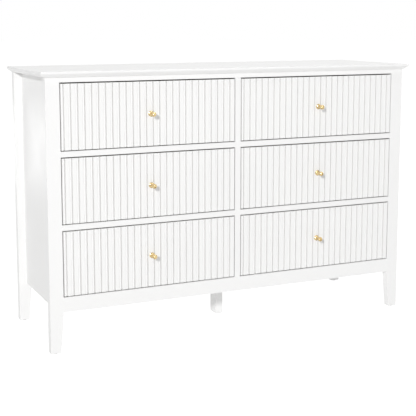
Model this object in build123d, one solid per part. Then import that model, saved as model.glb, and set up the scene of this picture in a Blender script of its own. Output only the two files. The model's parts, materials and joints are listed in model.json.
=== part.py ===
"""Six-drawer dresser on tapered legs, with beaded inset drawer fronts and small brass knobs.

Millimetres. X runs along the width, Y from the front to the back, Z up. The origin lies on the floor, in the
middle of the dresser's width and of its depth, knobs included. Left and right are as seen from the front.
"""

import os

from build123d import *

os.makedirs("parts", exist_ok=True)

# Top slab
top_width = 1200.0
top_height = 796.0
top_thickness = 16.0
top_nose = 6.0  # upright part of the slab's edge, above the undercut
top_overhang = 15.0
top_ledge = 3.0  # flat underside left between the undercut and the body
top_edge_radius = 1.5

# Frame
body_depth = 375.0
leg_width = 40.0
leg_depth = 24.0
foot_width = 30.0
foot_chamfer = 1.0
glide_radius = 9.0
glide_height = 1.5
glide_edge = 0.5
centre_leg_width = 24.0
centre_leg_depth = 40.0
centre_leg_left = 2.0
centre_leg_setback = 160.0

panel_thickness = 16.0
partition_thickness = 18.0
back_thickness = 3.0
back_recess = 9.0
frame_bottom = 119.0
bottom_rail_height = 43.0
bottom_rail_depth = 18.0
rear_rail_depth = 16.0
top_rail_height = 14.0
top_rail_depth = 70.0
mid_rail_height = 16.0
mid_rail_depth = 60.0

# Drawers
rows = ["top", "middle", "bottom"]
gap_side = 2.8
gap_top = 3.6
gap_bottom = 2.7
front_thickness = 16.0
front_setback = 0.5
box_side = 12.0
box_depth = 320.0
box_height = 140.0
box_lift = 12.0  # box above the lower edge of its front
bottom_thickness = 3.0
bottom_lift = 10.0
bottom_tongue = 5.0
slot_clearance = 0.2

# Beading of the drawer fronts: at each joint a groove, with a round bead and a fine quirk on its left
groove_pitch = 20.3
first_groove = 9.0
groove_depth = 4.0
groove_floor = 1.0
groove_slope = 0.5
quirk_spacing = 7.2  # from the groove's middle
quirk_depth = 1.5
quirk_width = 0.7
bead_drop = 0.1

# Knobs
knob_projection = 29.5
rose_radius = 8.2
rose_rim = 1.2
rose_round = 0.8
neck_radius = 3.3
neck_start = 10.0
head_radius = 7.0
knob_bore_depth = 13.0
knob_screw_radius = 2.0
knob_screw_reach = 10.0
knob_screw_head_radius = 4.0
knob_screw_head = 2.4

# Ball-bearing slides, two a drawer: an outer, a middle and an inner steel channel
slide_length = 300.0
slide_setback = 18.0
slide_thickness = 12.7
slide_play = 0.3
slide_steel = 1.2
outer_half_height = 22.5
outer_depth = 9.0
middle_half_height = 18.8
middle_start = 2.4
middle_end = 10.4
inner_half_height = 15.0
inner_depth = 7.6

# Screws
screw_clearance = 0.1
top_screw_radius = 2.0
top_screw_head_radius = 4.0
top_screw_head = 2.4
top_screw_reach = 10.0
top_screw_x = [-500.0, -180.0, 180.0, 500.0]
back_screw_radius = 1.5
back_screw_head_radius = 3.4
back_screw_head = 1.6
back_screw_reach = 13.0
recess_width = 0.8
recess_depth = 1.0

# Derived planes and places
top_depth = body_depth + top_overhang
body_half = top_width / 2 - top_overhang
slab_bottom = top_height - top_thickness
total_depth = body_depth + knob_projection - front_setback
back_y = total_depth / 2
face_y = back_y - body_depth
opening_half = body_half - leg_width
opening_low = frame_bottom + bottom_rail_height
opening_high = slab_bottom - top_rail_height
back_front_y = back_y - back_recess - back_thickness
partition_half = partition_thickness / 2
column_width = opening_half - partition_half
column_centre = (opening_half + partition_half) / 2
front_width = column_width - 2 * gap_side
row_pitch = (opening_high - opening_low + mid_rail_height) / 3
front_height = row_pitch - mid_rail_height - gap_top - gap_bottom
front_y = face_y + front_setback
front_back_y = front_y + front_thickness
columns = {"left": -column_centre, "right": column_centre}
top_row_bottom = opening_high - gap_top - front_height
row_bottoms = {row: top_row_bottom - index * row_pitch for index, row in enumerate(rows)}
box_half = column_width / 2 - slide_thickness - slide_play


def block(x_low, x_high, y_low, y_high, z_low, z_high):
    """A board between two corners."""
    centre = ((x_low + x_high) / 2, (y_low + y_high) / 2, (z_low + z_high) / 2)
    return Pos(*centre) * Box(x_high - x_low, y_high - y_low, z_high - z_low)


def prism_along_y(outline, y_low, y_high):
    """An outline of (x, z) points carried from one depth to another."""
    wire = Polyline([(x, y_low, z) for x, z in outline], close=True)
    return extrude(make_face(wire), amount=y_high - y_low, dir=(0, 1, 0))


def rod(start, direction, radius, length):
    """A round rod that starts at a point and runs along a direction."""
    return extrude(Plane(origin=start, z_dir=direction) * Circle(radius), amount=length)


def screw(head_seat, direction, radius, reach, head_radius, head):
    """A cross-head screw: its head stands behind the seat, its shank runs along the direction."""
    back = Vector(*head_seat) - Vector(*direction) * head
    shank = rod(head_seat, direction, radius, reach)
    cap = rod(back, direction, head_radius, head)
    cap = fillet(cap.edges().filter_by(GeomType.CIRCLE).sort_by_distance(back)[0], head / 3)
    plane = Plane(origin=back, z_dir=direction)
    cross = Rectangle(1.2 * head_radius, recess_width) + Rectangle(recess_width, 1.2 * head_radius)
    return shank + cap - extrude(plane * cross, amount=recess_depth)


def save(shape, node):
    export_step(shape, f"parts/{node}.step")


# Top slab: square at the back, undercut along the front and both ends, down to a narrow ledge

def make_top_panel():
    slab_centre = back_y - top_depth / 2
    upper = Pos(0, slab_centre, slab_bottom + top_thickness - top_nose) * Rectangle(top_width, top_depth)
    ledge_depth = body_depth + top_ledge
    lower = Pos(0, back_y - ledge_depth / 2, slab_bottom) * Rectangle(2 * (body_half + top_ledge), ledge_depth)
    undercut = loft([lower, upper], ruled=True)
    nose = block(-top_width / 2, top_width / 2, back_y - top_depth, back_y, top_height - top_nose, top_height)
    slab = undercut + nose
    rim = slab.edges().group_by(Axis.Z)[-1].filter_by(lambda edge: edge.center().Y < back_y - 1)
    slab = fillet(rim, top_edge_radius)
    hole_depth = top_rail_height + top_screw_reach + 1
    for place in top_screw_places():
        slab -= rod(place, (0, 0, 1), top_screw_radius + screw_clearance, hole_depth)
    return slab


def top_screw_places():
    """Where each screw that holds the slab enters a top rail from below."""
    front_line = face_y + top_rail_depth * 0.7
    rear_line = back_front_y - top_rail_depth * 0.7
    return [(x, y, opening_high) for y in (front_line, rear_line) for x in top_screw_x]


# Legs

def make_leg(side, y_low, y_high):
    """A corner leg; side is -1 on the left and 1 on the right. Only its inner face tapers."""
    outline = [
        (side * body_half, glide_height),
        (side * body_half, slab_bottom),
        (side * opening_half, slab_bottom),
        (side * opening_half, frame_bottom),
        (side * (body_half - foot_width), glide_height),
    ]
    leg = prism_along_y(outline, y_low, y_high)
    return chamfer(leg.edges().group_by(Axis.Z)[0], foot_chamfer)


def make_centre_leg():
    front = face_y + centre_leg_setback
    right = centre_leg_left + centre_leg_width
    top = opening_low - panel_thickness
    leg = block(centre_leg_left, right, front, front + centre_leg_depth, glide_height, top)
    return chamfer(leg.edges().group_by(Axis.Z)[0], foot_chamfer)


def make_glides():
    """A nylon glide under each foot."""
    foot_centre = body_half - foot_width / 2
    front = face_y + leg_depth / 2
    rear = back_y - leg_depth / 2
    places = [(-foot_centre, front), (foot_centre, front), (-foot_centre, rear), (foot_centre, rear)]
    centre_leg_middle = face_y + centre_leg_setback + centre_leg_depth / 2
    places.append((centre_leg_left + centre_leg_width / 2, centre_leg_middle))
    glides = []
    for x, y in places:
        disc = rod((x, y, 0), (0, 0, 1), glide_radius, glide_height)
        glides.append(chamfer(disc.edges().filter_by(GeomType.CIRCLE).group_by(Axis.Z)[0], glide_edge))
    return Compound(children=glides)


# Carcass boards

def make_side_panel(side):
    outer = side * (opening_half + panel_thickness)
    inner = side * opening_half
    front = face_y + leg_depth
    return block(min(outer, inner), max(outer, inner), front, back_y - leg_depth, frame_bottom, slab_bottom)


def back_screw_places():
    """Where each screw of the back panel meets the panel's rear face, with the board that it holds to."""
    rear = back_front_y + back_thickness
    along = [-500.0, -250.0, 0.0, 250.0, 500.0]
    upper = [(x, rear, opening_high + top_rail_height / 2) for x in along]
    lower = [(x, rear, frame_bottom + (opening_low - panel_thickness - frame_bottom) / 2) for x in along]
    upright = [(0.0, rear, opening_low + share * (opening_high - opening_low)) for share in (0.25, 0.5, 0.75)]
    return {"rear_top_rail": upper, "rear_bottom_rail": lower, "centre_partition": upright}


def drill_for_back_screws(board, places):
    for place in places:
        board -= rod(place, (0, -1, 0), back_screw_radius + screw_clearance, back_screw_reach + 1)
    return board


def drill_for_top_screws(board, y_low, y_high):
    for x, y, z in top_screw_places():
        if y_low < y < y_high:
            board -= rod((x, y, z - 1), (0, 0, 1), top_screw_radius + screw_clearance, top_rail_height + 2)
    return board


def make_carcass():
    """Every board of the carcass, by node name."""
    screws = back_screw_places()
    front_rail_back = face_y + bottom_rail_depth
    panel_low = opening_low - panel_thickness
    rear_rail_front = back_front_y - rear_rail_depth
    rear_top_front = back_front_y - top_rail_depth
    half = opening_half
    boards = {
        "front_bottom_rail": block(-half, half, face_y, front_rail_back, frame_bottom, opening_low),
        "bottom_panel": block(-half, half, front_rail_back, back_front_y, panel_low, opening_low),
        "rear_bottom_rail": block(-half, half, rear_rail_front, back_front_y, frame_bottom, panel_low),
        "front_top_rail": block(-half, half, face_y, face_y + top_rail_depth, opening_high, slab_bottom),
        "rear_top_rail": block(-half, half, rear_top_front, back_front_y, opening_high, slab_bottom),
        "centre_partition": block(
            -partition_half, partition_half, face_y, back_front_y, opening_low, opening_high
        ),
        "back_panel": block(
            -half, half, back_front_y, back_front_y + back_thickness, frame_bottom, slab_bottom
        ),
    }
    boards["front_top_rail"] = drill_for_top_screws(
        boards["front_top_rail"], face_y, face_y + top_rail_depth
    )
    boards["rear_top_rail"] = drill_for_top_screws(boards["rear_top_rail"], rear_top_front, back_front_y)
    for node, places in screws.items():
        boards[node] = drill_for_back_screws(boards[node], places)
        boards["back_panel"] = drill_for_back_screws(boards["back_panel"], places)
    return boards


def make_mid_rail(side, row):
    """The rail under a drawer of the top or the middle row."""
    high = row_bottoms[row] - gap_bottom
    inner = side * partition_half
    outer = side * opening_half
    x_low = min(inner, outer)
    x_high = max(inner, outer)
    return block(x_low, x_high, face_y, face_y + mid_rail_depth, high - mid_rail_height, high)


# Drawers

def make_front(x_centre, z_low):
    """A front board whose face is a row of beads, run from the lower edge to the upper edge."""
    left = x_centre - front_width / 2
    right = x_centre + front_width / 2
    pieces = []
    reached = (left, front_y)
    groove_count = int((front_width - first_groove) / groove_pitch) + 1
    for index in range(groove_count):
        groove = left + first_groove + index * groove_pitch
        quirk = groove - quirk_spacing
        bead_end = groove - groove_floor / 2
        crown = ((quirk + bead_end) / 2, front_y + bead_drop)
        quirk_start = (quirk - quirk_width, front_y)
        quirk_bottom = (quirk, front_y + quirk_depth)
        floor_start = (bead_end, front_y + groove_depth)
        floor_end = (groove + groove_floor / 2, front_y + groove_depth)
        wall_top = (groove + groove_floor / 2 + groove_slope, front_y)
        pieces.append(Line(reached, quirk_start))
        pieces.append(Line(quirk_start, quirk_bottom))
        pieces.append(ThreePointArc(quirk_bottom, crown, floor_start))
        pieces.append(Polyline(floor_start, floor_end, wall_top))
        reached = wall_top
    corners = [(right, front_y), (right, front_back_y), (left, front_back_y), (left, front_y)]
    pieces.append(Polyline(reached, *corners))
    outline = Pos(0, 0, z_low) * make_face(Curve() + pieces)
    front = extrude(outline, amount=front_height, dir=(0, 0, 1))
    slot_low = z_low + box_lift + bottom_lift - slot_clearance / 2
    slot_high = slot_low + bottom_thickness + slot_clearance
    slot_half = box_half - box_side + bottom_tongue + slot_clearance
    front -= block(
        x_centre - slot_half, x_centre + slot_half,
        front_back_y - bottom_tongue - slot_clearance, front_back_y + 1, slot_low, slot_high,
    )
    hole_start = (x_centre, front_y - 1, z_low + front_height / 2)
    return front - rod(hole_start, (0, 1, 0), knob_screw_radius + 2 * screw_clearance, front_thickness + 2)


def make_box(x_centre, z_low):
    """Both sides and the back of a drawer box. The sides are slotted for the bottom."""
    low = z_low + box_lift
    high = low + box_height
    rear = front_back_y + box_depth
    slot_low = low + bottom_lift - slot_clearance / 2
    slot_high = slot_low + bottom_thickness + slot_clearance
    inner = box_half - box_side
    tongue = inner + bottom_tongue + slot_clearance
    slot = block(x_centre - tongue, x_centre + tongue, front_back_y - 1, rear + 1, slot_low, slot_high)
    boards = []
    for side in (-1, 1):
        x_low = x_centre + min(side * inner, side * box_half)
        board = block(x_low, x_low + box_side, front_back_y, rear, low, high)
        boards.append(board - slot)
    boards.append(block(x_centre - inner, x_centre + inner, rear - box_side, rear, slot_high, high))
    return Compound(children=boards)


def make_bottom(x_centre, z_low):
    """The thin bottom: it slides in under the back and ends in the slot of the front."""
    low = z_low + box_lift + bottom_lift
    half = box_half - box_side + bottom_tongue
    front = front_back_y - bottom_tongue
    return block(
        x_centre - half, x_centre + half, front, front_back_y + box_depth, low, low + bottom_thickness
    )


def make_knob(x_centre, z_centre):
    """A turned knob, a flared rose with a slim neck and a ball head, and the screw that holds it."""
    head_centre = knob_projection - head_radius
    neck_end = head_centre - (head_radius**2 - neck_radius**2) ** 0.5
    rose_shoulder = (rose_radius - rose_round, rose_rim + rose_round)
    round_middle = (rose_radius - 0.3 * rose_round, rose_rim + 0.7 * rose_round)
    bore_radius = knob_screw_radius + screw_clearance / 2
    profile = [
        Line((bore_radius, 0), (rose_radius, 0)),
        Line((rose_radius, 0), (rose_radius, rose_rim)),
        ThreePointArc((rose_radius, rose_rim), round_middle, rose_shoulder),
        Spline(rose_shoulder, (neck_radius, neck_start), tangents=[(-1, 0.5), (0, 1)]),
        Line((neck_radius, neck_start), (neck_radius, neck_end)),
        ThreePointArc((neck_radius, neck_end), (head_radius, head_centre), (0, knob_projection)),
        Line((0, knob_projection), (0, knob_bore_depth)),
        Polyline((0, knob_bore_depth), (bore_radius, knob_bore_depth), (bore_radius, 0)),
    ]
    turned = revolve(make_face(Curve() + profile), Axis.Y)
    knob = Pos(x_centre, front_y, z_centre) * Rot(0, 0, 180) * turned
    reach = front_thickness + knob_screw_reach
    seat = (x_centre, front_back_y, z_centre)
    holder = screw(seat, (0, -1, 0), knob_screw_radius, reach, knob_screw_head_radius, knob_screw_head)
    return Compound(children=[knob, holder])


# Slides: places across a slide are counted from the face that the outer channel is screwed to

def make_channel(wall_x, inward, web, lips, half_height, z_centre, y_low):
    """A steel channel along Y. The web and the lips' ends are distances from the wall."""
    outer_z = half_height
    inner_z = half_height - slide_steel
    web_far = web + slide_steel if lips > web else web - slide_steel
    across = [web, lips, lips, web_far, web_far, lips, lips, web]
    heights = [outer_z, outer_z, inner_z, inner_z, -inner_z, -inner_z, -outer_z, -outer_z]
    outline = [(wall_x + inward * u, z_centre + v) for u, v in zip(across, heights)]
    return prism_along_y(outline, y_low, y_low + slide_length)


def slide_walls(x_centre):
    """The two upright faces beside a drawer, with the direction from each towards the drawer."""
    return [(x_centre - column_width / 2, 1), (x_centre + column_width / 2, -1)]


def make_slide_members(member, x_centre, z_low):
    """Left and right channels of one drawer; member is outer, middle or inner."""
    web, lips, half_height = {
        "outer": (0.0, outer_depth, outer_half_height),
        "middle": (middle_start, middle_end, middle_half_height),
        "inner": (slide_thickness, slide_thickness - inner_depth, inner_half_height),
    }[member]
    z_centre = z_low + box_lift + box_height / 2
    y_low = face_y + slide_setback
    return [
        make_channel(wall, inward, web, lips, half_height, z_centre, y_low)
        for wall, inward in slide_walls(x_centre)
    ]


# Everything is written out, one file a node

save(make_top_panel(), "top_panel")
for side_name, side in (("left", -1), ("right", 1)):
    save(make_leg(side, face_y, face_y + leg_depth), f"front_{side_name}_leg")
    save(make_leg(side, back_y - leg_depth, back_y), f"rear_{side_name}_leg")
    save(make_side_panel(side), f"{side_name}_side_panel")
    save(make_mid_rail(side, "top"), f"{side_name}_upper_mid_rail")
    save(make_mid_rail(side, "middle"), f"{side_name}_lower_mid_rail")
save(make_centre_leg(), "centre_leg")
save(make_glides(), "foot_glides")
for board_name, board in make_carcass().items():
    save(board, board_name)

top_shank = top_rail_height + top_screw_reach
top_screws = [
    screw(place, (0, 0, 1), top_screw_radius, top_shank, top_screw_head_radius, top_screw_head)
    for place in top_screw_places()
]
save(Compound(children=top_screws), "top_screws")
back_screws = [
    screw(place, (0, -1, 0), back_screw_radius, back_screw_reach, back_screw_head_radius, back_screw_head)
    for places in back_screw_places().values()
    for place in places
]
save(Compound(children=back_screws), "back_screws")

outer_members = []
for column, column_x in columns.items():
    for row, row_bottom in row_bottoms.items():
        drawer = f"{column}_{row}"
        save(make_front(column_x, row_bottom), f"{drawer}_drawer_front")
        save(make_box(column_x, row_bottom), f"{drawer}_drawer_box")
        save(make_bottom(column_x, row_bottom), f"{drawer}_drawer_bottom")
        save(make_knob(column_x, row_bottom + front_height / 2), f"{drawer}_knob")
        middle_members = make_slide_members("middle", column_x, row_bottom)
        inner_members = make_slide_members("inner", column_x, row_bottom)
        save(Compound(children=middle_members), f"{drawer}_slide_middle")
        save(Compound(children=inner_members), f"{drawer}_slide_inner")
        outer_members += make_slide_members("outer", column_x, row_bottom)
save(Compound(children=outer_members), "slide_outer_members")

print("front", round(front_width, 2), "x", round(front_height, 2), "rows at", row_bottoms)
print("face_y", face_y, "back_y", back_y, "opening", opening_low, opening_high, "box_half", box_half)
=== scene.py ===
"""Looks, light and camera of a white six-drawer dresser. Metres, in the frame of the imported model."""

import json
import math

import bmesh
import bpy
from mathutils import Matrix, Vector


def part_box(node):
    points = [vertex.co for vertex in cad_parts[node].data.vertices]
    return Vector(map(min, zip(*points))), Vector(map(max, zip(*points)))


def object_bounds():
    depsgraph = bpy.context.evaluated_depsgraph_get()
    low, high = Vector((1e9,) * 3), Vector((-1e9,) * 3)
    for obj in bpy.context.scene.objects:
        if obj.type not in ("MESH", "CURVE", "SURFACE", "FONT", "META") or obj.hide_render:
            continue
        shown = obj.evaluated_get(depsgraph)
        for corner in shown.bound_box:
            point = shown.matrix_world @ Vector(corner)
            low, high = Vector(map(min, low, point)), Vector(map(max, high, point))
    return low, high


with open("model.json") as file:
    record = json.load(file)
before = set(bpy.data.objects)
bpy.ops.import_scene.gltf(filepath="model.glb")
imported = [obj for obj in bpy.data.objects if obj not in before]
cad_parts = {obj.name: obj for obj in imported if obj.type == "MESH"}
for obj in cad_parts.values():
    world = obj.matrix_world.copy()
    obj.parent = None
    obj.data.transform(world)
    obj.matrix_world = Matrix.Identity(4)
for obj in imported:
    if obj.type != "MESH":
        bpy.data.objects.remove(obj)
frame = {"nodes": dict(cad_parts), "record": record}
nodes = frame["nodes"]
cad_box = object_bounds()

MM = 0.001

# Camera
CAMERA_PLACE = (-1.3004, -2.7810, 0.9355)
CAMERA_PITCH = 7.998  # degrees below the horizon
CAMERA_YAW = 24.741  # degrees to the right of +Y
CAMERA_LENS = 85.19
CAMERA_SENSOR = 36.0
CAMERA_SHIFT = -0.12

# Light
SOFTBOXES = {  # azimuth to the left of the front, elevation, distance from the dresser's middle, size, watts
    "key": (38.0, 21.0, 9.0, 0.7, 438.0),
    "fill": (-27.0, 8.0, 6.0, 1.6, 18.0),
    "side": (133.0, 4.0, 1.1, 0.3, 0.5),
    "rear": (-118.0, 16.0, 4.5, 2.0, 28.0),
    "overhead": (-90.0, 84.0, 3.2, 2.4, 47.0),
}
SKY_SEEN = 1.0
SKY_DIM = 0.3
SKY_MIRRORED = 0.8
FLOOR_RADIUS = 40.0
FLOOR_SEEN = 0.92
FLOOR_GLOW = 0.6
FLOOR_TONE = (0.25, 0.25, 0.25, 1.0)
FLOOR_ROUGHNESS = 0.9
FLOOR_SIDES = 96
WHITE = (1.0, 1.0, 1.0, 1.0)

# Edge rounding of the boards
WELD = 0.01 * MM
BOARD_EDGE = 0.5 * MM
FRONT_EDGE = 0.3 * MM
EDGE_ANGLE = math.radians(35)
EDGE_SEGMENTS = 2

# Paint
PAINT = (0.885, 0.884, 0.879, 1.0)
PAINT_SHADE = (0.870, 0.868, 0.862, 1.0)
PAINT_EDGE = (0.905, 0.902, 0.893, 1.0)
# Painted shade: the darker colour the beaded fronts take at the bottoms of their grooves
PAINT_GROOVE_SHADE = (0.83, 0.825, 0.815, 1.0)
PAINT_IOR = 1.48
PAINT_ROUGHNESS = (0.34, 0.46)
CLOUD_SIZE = 0.35
GLOSS_PATCH_SIZE = 0.05
WAVE_SIZE = 0.03
WAVE_HEIGHT = 0.06 * MM
PEEL_SIZE = 1.6 * MM
PEEL_HEIGHT = 0.012 * MM
THIN_EDGE = 1.2 * MM
# Depths below the board's face where the painted groove shade begins and where it is full
GROOVE_SHADE_START = 0.6 * MM
GROOVE_SHADE_END = 3.0 * MM

# Brass
BRASS = (0.90, 0.70, 0.37, 1.0)
BRASS_DARK = (0.36, 0.24, 0.10, 1.0)
BRASS_ROUGHNESS = (0.24, 0.13)
TARNISH_SIZE = 6 * MM
TARNISH_SHARE = (0.36, 0.54)  # tarnished below the first, clean above the second
RING_SIZE = 0.25 * MM
RING_DEPTH = 0.02 * MM

# Zinc-plated steel
ZINC = (0.74, 0.75, 0.76, 1.0)
ZINC_DARK = (0.60, 0.61, 0.63, 1.0)
ZINC_ROUGHNESS = (0.28, 0.45)
DRAWN_SIZE = 0.6 * MM
DRAWN_DEPTH = 0.01 * MM
SPANGLE_SIZE = 9 * MM

# Birch plywood
BIRCH = (0.80, 0.66, 0.46, 1.0)
BIRCH_DARK = (0.62, 0.46, 0.28, 1.0)
BIRCH_ROUGHNESS = 0.5
GRAIN_SIZE = 5 * MM
GRAIN_DEPTH = 0.05 * MM
GRAIN_STRETCH = 0.05  # scale along the grain, against 1 across it
PLY = 1.5 * MM
BOX_BOARD = 12 * MM
UPRIGHT_NORMAL = 0.7  # a face whose normal rises more than this is a board's edge

# Hardboard
HARDBOARD = (0.84, 0.83, 0.80, 1.0)
HARDBOARD_SHADE = (0.81, 0.80, 0.77, 1.0)
HARDBOARD_FIBRE = (0.66, 0.62, 0.56, 1.0)
HARDBOARD_ROUGHNESS = (0.42, 0.6)
HARDBOARD_CLOUD = 0.12
FIBRE_SIZE = 1.5 * MM
FIBRE_DEPTH = 0.02 * MM

# Nylon
NYLON = (0.36, 0.34, 0.32, 1.0)
NYLON_DARK = (0.26, 0.25, 0.24, 1.0)
NYLON_ROUGHNESS = (0.5, 0.65)
NYLON_GRAIN = 0.5 * MM
NYLON_GRAIN_DEPTH = 0.03 * MM
SCUFF_SIZE = 4 * MM


# Node helpers

def start_material(name, **constants):
    """A material whose shader's own sockets hold the constants, given by their names in plain words."""
    material = bpy.data.materials.new(name)
    material.use_nodes = True
    tree = material.node_tree
    shader = tree.nodes["Principled BSDF"]
    for words, value in constants.items():
        shader.inputs[words.replace("_", " ")].default_value = value
    return material, tree, shader


def add(tree, kind, inputs=None, **settings):
    """A shader node; each input is a constant or another node's output."""
    made = tree.nodes.new("ShaderNode" + kind)
    for name, value in settings.items():
        setattr(made, name, value)
    for name, value in (inputs or {}).items():
        if isinstance(value, bpy.types.NodeSocket):
            tree.links.new(value, made.inputs[name])
        else:
            made.inputs[name].default_value = value
    return made


def object_coordinates(tree, stretch=(1.0, 1.0, 1.0)):
    place = add(tree, "TexCoord").outputs["Object"]
    return add(tree, "Mapping", {"Vector": place, "Scale": stretch}).outputs["Vector"]


def noise(tree, coordinates, size, detail=2.0, roughness=0.5, distortion=0.0):
    """Noise whose features are about size metres across, from 0 to 1."""
    inputs = {"Vector": coordinates, "Scale": 1 / size, "Detail": detail}
    inputs.update({"Roughness": roughness, "Distortion": distortion})
    return add(tree, "TexNoise", inputs).outputs["Fac"]


def blend_colours(tree, share, low, high):
    inputs = {"Factor": share, 6: low, 7: high}
    return add(tree, "Mix", inputs, data_type="RGBA").outputs[2]


def remap(tree, value, low, high, from_low=0.3, from_high=0.7):
    inputs = {"Value": value, "From Min": from_low, "From Max": from_high, "To Min": low, "To Max": high}
    return add(tree, "MapRange", inputs).outputs["Result"]


def calculate(tree, operation, first, second=0.0):
    return add(tree, "Math", {0: first, 1: second}, operation=operation).outputs["Value"]


def bump(tree, height, distance, normal=None):
    inputs = {"Height": height, "Distance": distance}
    if normal is not None:
        inputs["Normal"] = normal
    return add(tree, "Bump", inputs).outputs["Normal"]


def edge_mask(tree, radius):
    """1 along outer edges and 0 on flat faces: how far a rounded normal leans from the true one."""
    rounded = add(tree, "Bevel", {"Radius": radius}, samples=4).outputs["Normal"]
    true = add(tree, "NewGeometry").outputs["Normal"]
    lean = add(tree, "VectorMath", {0: rounded, 1: true}, operation="DOT_PRODUCT").outputs["Value"]
    return remap(tree, lean, 1.0, 0.0, from_low=0.8, from_high=0.99)


# Materials

def make_paint(name, groove_shade_face=None):
    """Sprayed satin paint: faint clouding, fine orange peel, and edges where it has drawn thin.

    With the depth of a beaded board's face given, painted shade darkens the colour towards the grooves'
    bottoms."""
    material, tree, shader = start_material(name, IOR=PAINT_IOR)
    place = object_coordinates(tree)
    cloud = noise(tree, place, CLOUD_SIZE, detail=3.0)
    tone = blend_colours(tree, remap(tree, cloud, 0.0, 1.0), PAINT_SHADE, PAINT)
    tone = blend_colours(tree, edge_mask(tree, THIN_EDGE), tone, PAINT_EDGE)
    if groove_shade_face is not None:
        # Painted shade: the colour darkens with depth into the grooves, in place of the shade that falls
        # there
        depth = add(tree, "SeparateXYZ", {"Vector": place}).outputs["Y"]
        groove_shade = remap(tree, depth, 0.0, 1.0, groove_shade_face + GROOVE_SHADE_START, groove_shade_face + GROOVE_SHADE_END)
        tone = blend_colours(tree, groove_shade, tone, PAINT_GROOVE_SHADE)
    tree.links.new(tone, shader.inputs["Base Color"])
    patches = noise(tree, place, GLOSS_PATCH_SIZE, detail=4.0)
    tree.links.new(remap(tree, patches, *PAINT_ROUGHNESS), shader.inputs["Roughness"])
    waves = bump(tree, noise(tree, place, WAVE_SIZE, detail=1.0), WAVE_HEIGHT)
    peel = bump(tree, noise(tree, place, PEEL_SIZE, detail=2.0), PEEL_HEIGHT, waves)
    tree.links.new(peel, shader.inputs["Normal"])
    return material


def make_brass():
    """Turned and lacquered brass with lathe lines round the knob and a little tarnish."""
    material, tree, shader = start_material("turned_brass", Metallic=1.0)
    place = object_coordinates(tree)
    tarnish = noise(tree, place, TARNISH_SIZE, detail=5.0, roughness=0.65)
    tone = blend_colours(tree, remap(tree, tarnish, 0.0, 1.0, *TARNISH_SHARE), BRASS_DARK, BRASS)
    tree.links.new(tone, shader.inputs["Base Color"])
    tree.links.new(remap(tree, tarnish, *BRASS_ROUGHNESS), shader.inputs["Roughness"])
    lathe = object_coordinates(tree, stretch=(0.02, 1.0, 0.02))
    rings = noise(tree, lathe, RING_SIZE, detail=2.0)
    tree.links.new(bump(tree, rings, RING_DEPTH), shader.inputs["Normal"])
    return material


def make_zinc():
    """Rolled and zinc-plated steel, drawn along the slide."""
    material, tree, shader = start_material("zinc_plate", Metallic=1.0)
    drawn = noise(tree, object_coordinates(tree, stretch=(1.0, 0.03, 1.0)), DRAWN_SIZE, detail=3.0)
    spangle = noise(tree, object_coordinates(tree), SPANGLE_SIZE, detail=2.0)
    tree.links.new(blend_colours(tree, spangle, ZINC_DARK, ZINC), shader.inputs["Base Color"])
    tree.links.new(remap(tree, drawn, *ZINC_ROUGHNESS), shader.inputs["Roughness"])
    tree.links.new(bump(tree, drawn, DRAWN_DEPTH), shader.inputs["Normal"])
    return material


def wood_grain(tree, stretch):
    """Grain drawn out along the axis whose stretch is small."""
    return noise(tree, object_coordinates(tree, stretch), GRAIN_SIZE, detail=4.0, distortion=0.4)


def make_birch():
    """Lacquered birch plywood. The grain runs along each board, and the plies show on the upper edges."""
    material, tree, shader = start_material("birch_plywood", Roughness=BIRCH_ROUGHNESS)
    inner_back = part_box("left_top_drawer_box")[1].y - BOX_BOARD - MM
    split = add(tree, "SeparateXYZ", {"Vector": add(tree, "TexCoord").outputs["Object"]})
    at_back = calculate(tree, "GREATER_THAN", split.outputs["Y"], inner_back)
    along_side = wood_grain(tree, (1.0, GRAIN_STRETCH, 1.0))
    along_back = wood_grain(tree, (GRAIN_STRETCH, 1.0, 1.0))
    grain = add(tree, "Mix", {"Factor": at_back, 2: along_side, 3: along_back}).outputs[0]
    face = blend_colours(tree, remap(tree, grain, 0.0, 1.0), BIRCH_DARK, BIRCH)
    across_side = calculate(tree, "MULTIPLY", split.outputs["X"], 1 / PLY)
    across_back = calculate(tree, "MULTIPLY", split.outputs["Y"], 1 / PLY)
    across = add(tree, "Mix", {"Factor": at_back, 2: across_side, 3: across_back}).outputs[0]
    ply = calculate(tree, "PINGPONG", across, 1.0)
    plies = blend_colours(tree, remap(tree, ply, 0.0, 1.0, 0.4, 0.6), BIRCH_DARK, BIRCH)
    facing = add(tree, "SeparateXYZ", {"Vector": add(tree, "NewGeometry").outputs["Normal"]}).outputs["Z"]
    on_edge = calculate(tree, "GREATER_THAN", calculate(tree, "ABSOLUTE", facing), UPRIGHT_NORMAL)
    tree.links.new(blend_colours(tree, on_edge, face, plies), shader.inputs["Base Color"])
    tree.links.new(bump(tree, grain, GRAIN_DEPTH), shader.inputs["Normal"])
    return material


def make_hardboard():
    """Hardboard with a smooth white face, in which the pressed fibres just show."""
    material, tree, shader = start_material("white_hardboard")
    place = object_coordinates(tree)
    fibres = noise(tree, place, FIBRE_SIZE, detail=6.0, roughness=0.7, distortion=1.5)
    cloud = noise(tree, place, HARDBOARD_CLOUD, detail=3.0)
    tone = blend_colours(tree, remap(tree, cloud, 0.0, 1.0), HARDBOARD_SHADE, HARDBOARD)
    flecked = blend_colours(tree, remap(tree, fibres, 0.25, 0.0, 0.25, 0.5), tone, HARDBOARD_FIBRE)
    tree.links.new(flecked, shader.inputs["Base Color"])
    tree.links.new(remap(tree, fibres, *HARDBOARD_ROUGHNESS), shader.inputs["Roughness"])
    tree.links.new(bump(tree, fibres, FIBRE_DEPTH), shader.inputs["Normal"])
    return material


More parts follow.
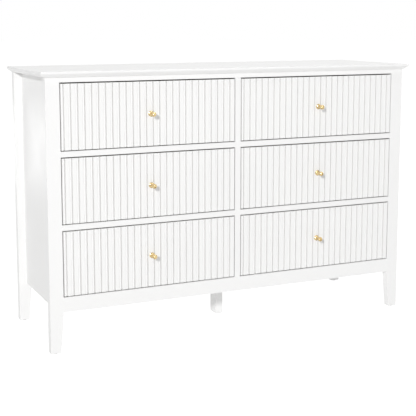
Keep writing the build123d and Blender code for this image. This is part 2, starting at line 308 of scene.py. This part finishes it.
def make_nylon():
    """Moulded grey nylon with a fine matt grain."""
    material, tree, shader = start_material("moulded_nylon")
    place = object_coordinates(tree)
    grain = noise(tree, place, NYLON_GRAIN, detail=3.0)
    scuffs = noise(tree, place, SCUFF_SIZE, detail=4.0, roughness=0.7)
    tree.links.new(blend_colours(tree, scuffs, NYLON_DARK, NYLON), shader.inputs["Base Color"])
    tree.links.new(remap(tree, scuffs, *NYLON_ROUGHNESS), shader.inputs["Roughness"])
    tree.links.new(bump(tree, grain, NYLON_GRAIN_DEPTH), shader.inputs["Normal"])
    return material


materials = {
    "white_paint": make_paint("satin_white_paint"),
    "brass": make_brass(),
    "zinc_steel": make_zinc(),
    "drawer_wood": make_birch(),
    "hardboard": make_hardboard(),
    "nylon": make_nylon(),
}


# Finish of the CAD nodes

def round_edges(piece, width):
    """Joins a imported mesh's faces and rounds its sharp edges."""
    weld = piece.modifiers.new("weld", "WELD")
    weld.merge_threshold = WELD
    bevel = piece.modifiers.new("edges", "BEVEL")
    bevel.width = width
    bevel.segments = EDGE_SEGMENTS
    bevel.limit_method = "ANGLE"
    bevel.angle_limit = EDGE_ANGLE
    normals = piece.modifiers.new("normals", "WEIGHTED_NORMAL")
    normals.keep_sharp = True


# The drawer fronts get the paint that carries painted shade in its grooves
groove_shaded_paint = make_paint("beaded_white_paint_groove_shade", groove_shade_face=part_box("left_top_drawer_front")[0].y)
slots = {part["node"]: part["material_slot"] for part in frame["record"]["subparts"]}
for name, piece in nodes.items():
    for slot in piece.material_slots:
        slot.material = materials[slots[name]]
    if name.endswith("_drawer_front"):
        piece.material_slots[0].material = groove_shaded_paint
        round_edges(piece, FRONT_EDGE)
    elif slots[name] in ("white_paint", "drawer_wood"):
        round_edges(piece, BOARD_EDGE)


# Floor, light and camera

def make_floor():
    """A wide pale floor that glows, brighter to the camera than as a light on the dresser."""
    mesh = bpy.data.meshes.new("floor")
    shape = bmesh.new()
    bmesh.ops.create_circle(shape, cap_ends=True, segments=FLOOR_SIDES, radius=FLOOR_RADIUS)
    shape.to_mesh(mesh)
    shape.free()
    floor = bpy.data.objects.new("floor", mesh)
    bpy.context.collection.objects.link(floor)
    material, tree, shader = start_material("pale_floor", Roughness=FLOOR_ROUGHNESS, Base_Color=FLOOR_TONE)
    shader.inputs["Emission Color"].default_value = WHITE
    seen = add(tree, "LightPath").outputs["Is Camera Ray"]
    glow = add(tree, "Mix", {"Factor": seen, 2: FLOOR_GLOW, 3: FLOOR_SEEN}).outputs[0]
    tree.links.new(glow, shader.inputs["Emission Strength"])
    mesh.materials.append(material)


def make_sky():
    """White where it is seen, a little duller in reflections, and dim as a light."""
    world = bpy.data.worlds.new("sky")
    bpy.context.scene.world = world
    world.use_nodes = True
    tree = world.node_tree
    ray = add(tree, "LightPath")
    glossy = ray.outputs["Is Glossy Ray"]
    unseen = add(tree, "Mix", {"Factor": glossy, 2: SKY_DIM, 3: SKY_MIRRORED}).outputs[0]
    strength = add(tree, "Mix", {"Factor": ray.outputs["Is Camera Ray"], 2: unseen, 3: SKY_SEEN}).outputs[0]
    tree.links.new(strength, tree.nodes["Background"].inputs["Strength"])
    tree.nodes["Background"].inputs["Color"].default_value = WHITE


def add_softbox(name, azimuth, elevation, distance, size, power):
    """A square lamp that faces the middle of the dresser; azimuth is counted to the left of the front."""
    low, high = cad_box
    centre = (low + high) / 2
    turn = math.radians(azimuth)
    rise = math.radians(elevation)
    towards = Vector((-math.sin(turn) * math.cos(rise), -math.cos(turn) * math.cos(rise), math.sin(rise)))
    data = bpy.data.lights.new(name, "AREA")
    data.size = size
    data.energy = power
    lamp = bpy.data.objects.new(name, data)
    lamp.location = centre + towards * distance
    lamp.rotation_euler = towards.to_track_quat("Z", "Y").to_euler()
    lamp.visible_camera = False
    bpy.context.collection.objects.link(lamp)


def make_camera():
    data = bpy.data.cameras.new("camera")
    data.sensor_width = CAMERA_SENSOR
    data.lens = CAMERA_LENS
    data.shift_y = CAMERA_SHIFT
    camera = bpy.data.objects.new("camera", data)
    camera.location = CAMERA_PLACE
    camera.rotation_euler = (math.radians(90 - CAMERA_PITCH), 0, math.radians(-CAMERA_YAW))
    bpy.context.collection.objects.link(camera)
    bpy.context.scene.camera = camera


make_floor()
make_sky()
for lamp_name, lamp_settings in SOFTBOXES.items():
    add_softbox(lamp_name, *lamp_settings)
make_camera()
bpy.context.scene.view_settings.view_transform = "Standard"
